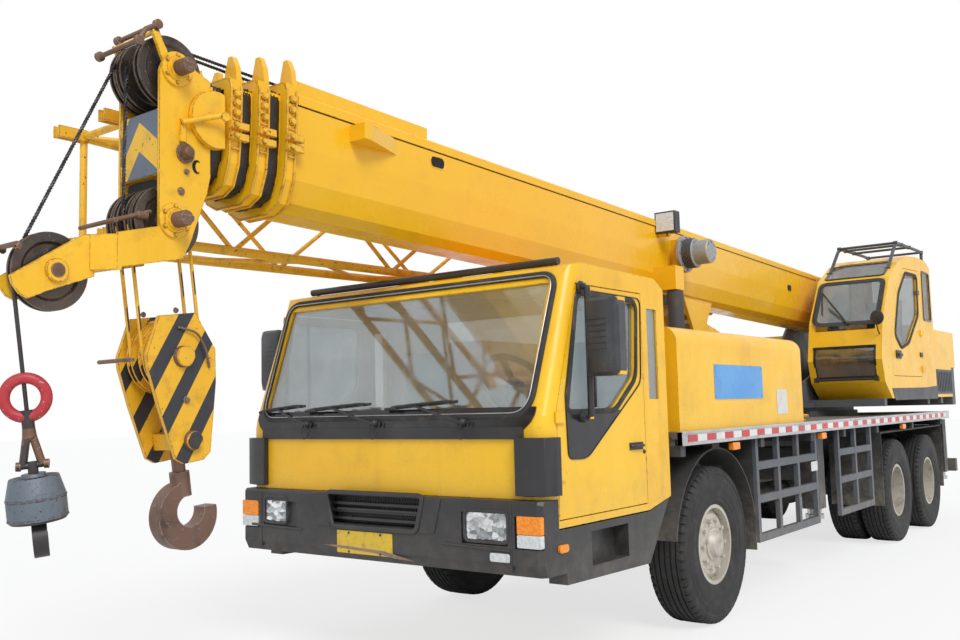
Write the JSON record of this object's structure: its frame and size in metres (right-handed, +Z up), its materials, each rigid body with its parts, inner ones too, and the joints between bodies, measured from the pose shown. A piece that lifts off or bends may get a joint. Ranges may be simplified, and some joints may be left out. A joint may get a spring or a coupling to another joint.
{
  "type": "mobile crane",
  "caption": "Truck-mounted telescopic crane with a two-man carrier cab, slewing superstructure with operator cab, luffing boom, stowed lattice jib and two hooks.",
  "frame": {"origin": "on the ground below the middle of the whole length and width", "axes": "+Z up, the truck faces -Y, its left side is +X"},
  "size_m": [2.954, 12.295, 3.4104],
  "materials": {
    "yellow_paint": "weathered gloss",
    "black_paint": "satin",
    "grey_paint": "satin",
    "brown_paint": "worn",
    "aluminium_edge": "brushed",
    "rusty_steel": "rusty",
    "bare_steel": "worn",
    "rim_silver": "worn",
    "tyre_rubber": "matte",
    "black_plastic": "matte",
    "seat_fabric": "woven",
    "window_glass": "clear",
    "lamp_glass": "clear"
  },
  "bodies": {
    "carrier": {"chassis_frame": "black_paint", "deck": "aluminium_edge", "front_bumper": "black_plastic", "lamps": "lamp_glass", "cab_shell": "yellow_paint", "cab_glass": "window_glass", "cab_trim": "black_plastic", "cab_seats": "seat_fabric", "cab_dashboard": "black_plastic", "deck_boxes": "yellow_paint", "engine_block": "black_paint", "boom_rest": "brown_paint", "side_guards": "grey_paint", "mudguards": "black_paint", "front_axle": "black_paint", "rear_axles": "black_paint"},
    "cab_door_left_body": {"cab_door_left": "yellow_paint"},
    "cab_door_right_body": {"cab_door_right": "yellow_paint"},
    "knuckle_left_body": {"knuckle_left": "rusty_steel"},
    "knuckle_right_body": {"knuckle_right": "rusty_steel"},
    "front_wheel_left": {"tyre_front_left": "tyre_rubber", "rim_front_left": "rim_silver"},
    "front_wheel_right": {"tyre_front_right": "tyre_rubber", "rim_front_right": "rim_silver"},
    "rear_wheel_1_left": {"tyre_rear_1_left": "tyre_rubber", "rim_rear_1_left": "rim_silver"},
    "rear_wheel_1_right": {"tyre_rear_1_right": "tyre_rubber", "rim_rear_1_right": "rim_silver"},
    "rear_wheel_2_left": {"tyre_rear_2_left": "tyre_rubber", "rim_rear_2_left": "rim_silver"},
    "rear_wheel_2_right": {"tyre_rear_2_right": "tyre_rubber", "rim_rear_2_right": "rim_silver"},
    "beam_front_left": {"outrigger_beam_front_left": "black_paint"},
    "jack_front_left": {"outrigger_jack_front_left": "bare_steel"},
    "beam_front_right": {"outrigger_beam_front_right": "black_paint"},
    "jack_front_right": {"outrigger_jack_front_right": "bare_steel"},
    "beam_rear_left": {"outrigger_beam_rear_left": "black_paint"},
    "jack_rear_left": {"outrigger_jack_rear_left": "bare_steel"},
    "beam_rear_right": {"outrigger_beam_rear_right": "black_paint"},
    "jack_rear_right": {"outrigger_jack_rear_right": "bare_steel"},
    "superstructure": {"turntable_frame": "yellow_paint", "winch_drums": "rusty_steel", "rear_housings": "yellow_paint", "counterweight": "grey_paint", "op_cab_shell": "yellow_paint", "op_cab_guard": "black_paint", "op_seat": "seat_fabric"},
    "op_door": {"op_cab_door": "yellow_paint"},
    "boom": {"boom_base": "yellow_paint", "jib_lattice": "yellow_paint"},
    "section_2": {"boom_section_2": "yellow_paint"},
    "section_3": {"boom_section_3": "yellow_paint"},
    "section_4": {"boom_head": "yellow_paint", "head_sheaves": "rusty_steel"},
    "luff_barrel_body": {"luff_barrel": "yellow_paint"},
    "luff_rod_body": {"luff_rod": "bare_steel"},
    "hook": {"hook_block": "yellow_paint"},
    "hook_swivel": {"main_hook": "rusty_steel"},
    "aux_hook_body": {"aux_hook": "grey_paint"}
  },
  "joints": [
    {"name": "steer_left", "type": "hinge", "parent": "carrier", "child": "knuckle_left_body", "pos_m": [0.868, -1.68, 0.542], "axis": [0, 0, 1], "range_deg": [-32, 32]},
    {"name": "front_wheel_left_spin", "type": "hinge", "parent": "knuckle_left_body", "child": "front_wheel_left", "pos_m": [1.037, -1.68, 0.542], "axis": [1, 0, 0], "continuous": true},
    {"name": "steer_right", "type": "hinge", "parent": "carrier", "child": "knuckle_right_body", "pos_m": [-0.868, -1.68, 0.542], "axis": [0, 0, 1], "range_deg": [-32, 32]},
    {"name": "front_wheel_right_spin", "type": "hinge", "parent": "knuckle_right_body", "child": "front_wheel_right", "pos_m": [-1.037, -1.68, 0.542], "axis": [1, 0, 0], "continuous": true},
    {"name": "rear_wheel_1_left_spin", "type": "hinge", "parent": "carrier", "child": "rear_wheel_1_left", "pos_m": [0.917, 2.92, 0.542], "axis": [1, 0, 0], "continuous": true},
    {"name": "rear_wheel_1_right_spin", "type": "hinge", "parent": "carrier", "child": "rear_wheel_1_right", "pos_m": [-0.917, 2.92, 0.542], "axis": [1, 0, 0], "continuous": true},
    {"name": "rear_wheel_2_left_spin", "type": "hinge", "parent": "carrier", "child": "rear_wheel_2_left", "pos_m": [0.917, 4.27, 0.542], "axis": [1, 0, 0], "continuous": true},
    {"name": "rear_wheel_2_right_spin", "type": "hinge", "parent": "carrier", "child": "rear_wheel_2_right", "pos_m": [-0.917, 4.27, 0.542], "axis": [1, 0, 0], "continuous": true},
    {"name": "cab_door_left_hinge", "type": "hinge", "parent": "carrier", "child": "cab_door_left_body", "pos_m": [1.2113, -3.733, 1.3], "axis": [0, 0, -1], "range_deg": [0, 70]},
    {"name": "cab_door_right_hinge", "type": "hinge", "parent": "carrier", "child": "cab_door_right_body", "pos_m": [-1.2113, -3.733, 1.3], "axis": [0, 0, 1], "range_deg": [0, 70]},
    {"name": "outrigger_front_left_out", "type": "slide", "parent": "carrier", "child": "beam_front_left", "axis": [1, 0, 0], "range_m": [0, 1.85]},
    {"name": "outrigger_front_left_jack", "type": "slide", "parent": "beam_front_left", "child": "jack_front_left", "axis": [0, 0, -1], "range_m": [0, 0.54]},
    {"name": "outrigger_front_right_out", "type": "slide", "parent": "carrier", "child": "beam_front_right", "axis": [-1, 0, 0], "range_m": [0, 1.85]},
    {"name": "outrigger_front_right_jack", "type": "slide", "parent": "beam_front_right", "child": "jack_front_right", "axis": [0, 0, -1], "range_m": [0, 0.54]},
    {"name": "outrigger_rear_left_out", "type": "slide", "parent": "carrier", "child": "beam_rear_left", "axis": [1, 0, 0], "range_m": [0, 1.85]},
    {"name": "outrigger_rear_left_jack", "type": "slide", "parent": "beam_rear_left", "child": "jack_rear_left", "axis": [0, 0, -1], "range_m": [0, 0.54]},
    {"name": "outrigger_rear_right_out", "type": "slide", "parent": "carrier", "child": "beam_rear_right", "axis": [-1, 0, 0], "range_m": [0, 1.85]},
    {"name": "outrigger_rear_right_jack", "type": "slide", "parent": "beam_rear_right", "child": "jack_rear_right", "axis": [0, 0, -1], "range_m": [0, 0.54]},
    {"name": "slew", "type": "hinge", "parent": "carrier", "child": "superstructure", "pos_m": [0, 3.27, 1.4], "axis": [0, 0, 1], "continuous": true},
    {"name": "op_door_hinge", "type": "hinge", "parent": "superstructure", "child": "op_door", "pos_m": [1.2263, 4.35, 2.3], "axis": [0, 0, 1], "range_deg": [0, 100]},
    {"name": "luff", "type": "hinge", "parent": "superstructure", "child": "boom", "pos_m": [0, 4.67, 2.55], "axis": [-1, 0, 0], "range_deg": [0, 79]},
    {"name": "telescope_2", "type": "slide", "parent": "boom", "child": "section_2", "axis": [0, -0.9997, 0.0257], "range_m": [0, 7.1]},
    {"name": "telescope_3", "type": "slide", "parent": "section_2", "child": "section_3", "axis": [0, -0.9997, 0.0257], "range_m": [0, 7.1]},
    {"name": "telescope_4", "type": "slide", "parent": "section_3", "child": "section_4", "axis": [0, -0.9997, 0.0257], "range_m": [0, 7.1]},
    {"name": "luff_barrel_hinge", "type": "hinge", "parent": "superstructure", "child": "luff_barrel_body", "pos_m": [0, 3.3, 1.64], "axis": [-1, 0, 0], "range_deg": [0, 80.81]},
    {"name": "luff_rod_slide", "type": "slide", "parent": "luff_barrel_body", "child": "luff_rod_body", "axis": [0, -0.9761, 0.2171], "range_m": [0, 2.0892]},
    {"name": "hook_plumb", "type": "hinge", "parent": "section_4", "child": "hook", "pos_m": [0, -5.398, 2.452], "axis": [-1, 0, 0], "range_deg": [-72.7, 0]},
    {"name": "hook_turn", "type": "hinge", "parent": "hook", "child": "hook_swivel", "pos_m": [0, -5.26458, 1.41051], "axis": [0, -0.1271, 0.9919], "continuous": true},
    {"name": "aux_hook_plumb", "type": "hinge", "parent": "section_4", "child": "aux_hook_body", "pos_m": [0, -5.92, 2.175], "axis": [-1, 0, 0], "range_deg": [-72.7, 0]}
  ],
  "couplings": [
    {"joint": "steer_right", "follows": "steer_left", "ratio": 1},
    {"joint": "luff_barrel_hinge", "follows": "luff", "ratio": 1.0228},
    {"joint": "luff_rod_slide", "follows": "luff", "m_per_rad": 1.5149},
    {"joint": "hook_plumb", "follows": "luff", "ratio": -0.9076},
    {"joint": "aux_hook_plumb", "follows": "luff", "ratio": -0.9076}
  ]
}
